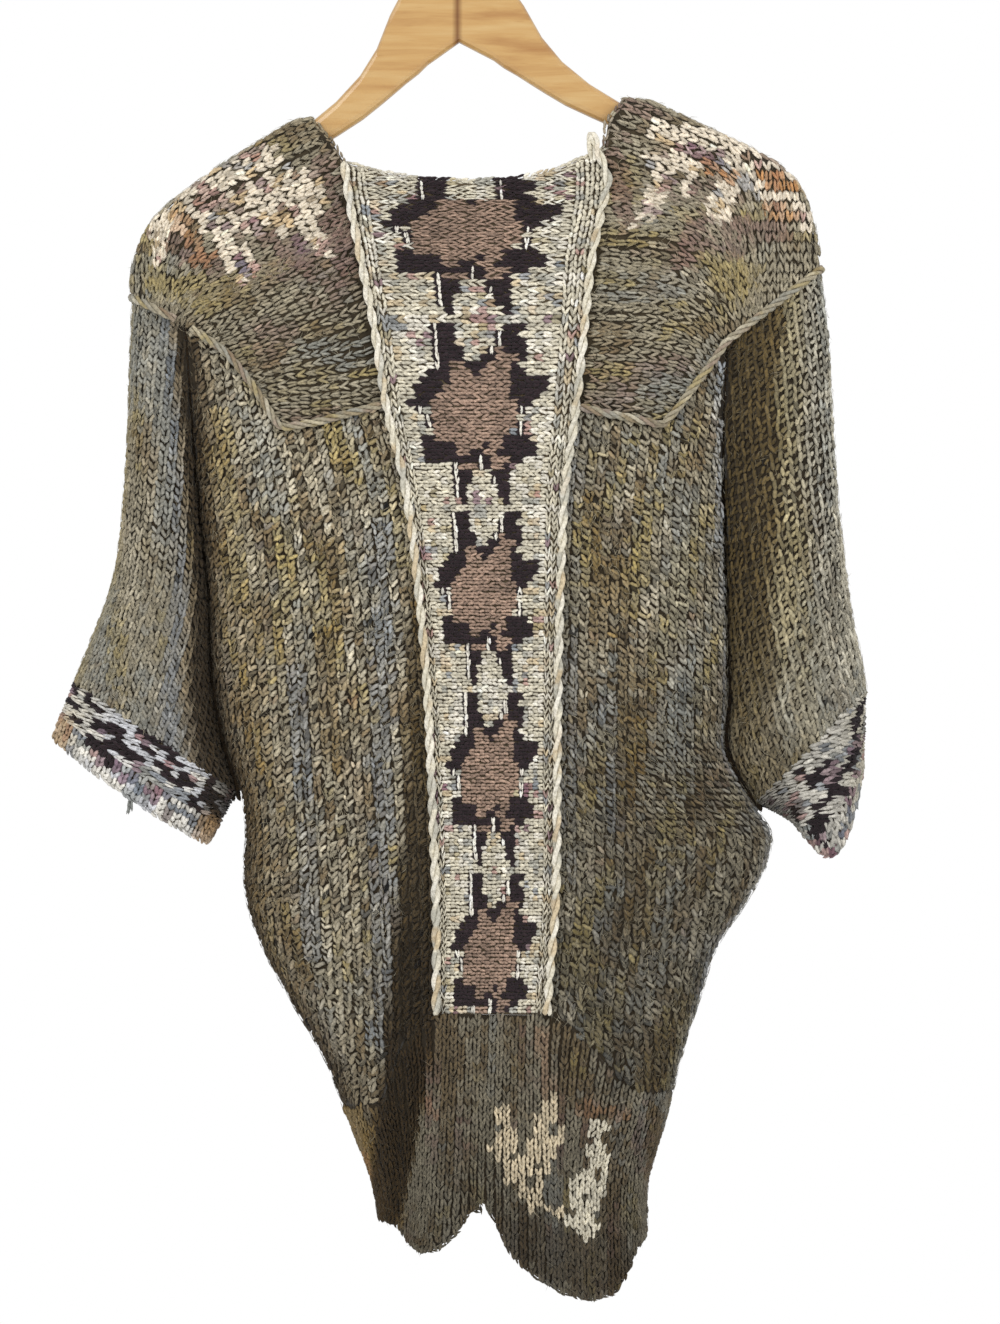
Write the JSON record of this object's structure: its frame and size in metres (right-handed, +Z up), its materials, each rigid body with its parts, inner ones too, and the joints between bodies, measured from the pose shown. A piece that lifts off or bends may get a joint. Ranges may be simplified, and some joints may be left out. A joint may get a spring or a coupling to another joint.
{
  "type": "kimono cardigan on a hanger",
  "caption": "Open-front kimono cardigan with wide short sleeves, patterned centre back panel, raised seams and a lobed hem, hanging back to front on a wooden hanger.",
  "frame": {"origin": "the point inside the top of the hook where it hangs on a rail", "axes": "+X to the right as the garment's back is looked at, +Z up, the garment's back faces -Y and its open front +Y"},
  "size_m": [0.5689, 0.0834, 1.015],
  "materials": {
    "beech_wood": "clear satin varnish over pale beech",
    "plated_steel": "bright plated steel wire",
    "cream_knit": "cream and white variegated hand knit with mauve-brown and aubergine motifs",
    "taupe_knit": "fuzzy taupe and olive heather stocking stitch",
    "yoke_knit": "taupe and mauve heather short-row knit with cream patches",
    "cuff_knit": "cream, plum and aubergine variegated knit",
    "hem_knit": "brown-grey fine knit with cream patches",
    "cream_cord": "raised cream chain seam",
    "olive_cord": "raised twisted olive and ochre seam"
  },
  "bodies": {
    "root": {"hanger_wood": "beech_wood", "hanger_hook": "plated_steel", "back_panel": "cream_knit", "back_left": "taupe_knit", "back_right": "taupe_knit", "front_left": "taupe_knit", "front_right": "taupe_knit", "yoke_left": "yoke_knit", "yoke_right": "yoke_knit", "sleeve_left": "taupe_knit", "sleeve_right": "taupe_knit", "cuff_left": "cuff_knit", "cuff_right": "cuff_knit", "hem_back": "hem_knit", "hem_front_left": "hem_knit", "hem_front_right": "hem_knit", "panel_cord_left": "cream_cord", "panel_cord_right": "cream_cord", "yoke_cord_left": "olive_cord", "yoke_cord_right": "olive_cord"}
  },
  "joints": []
}
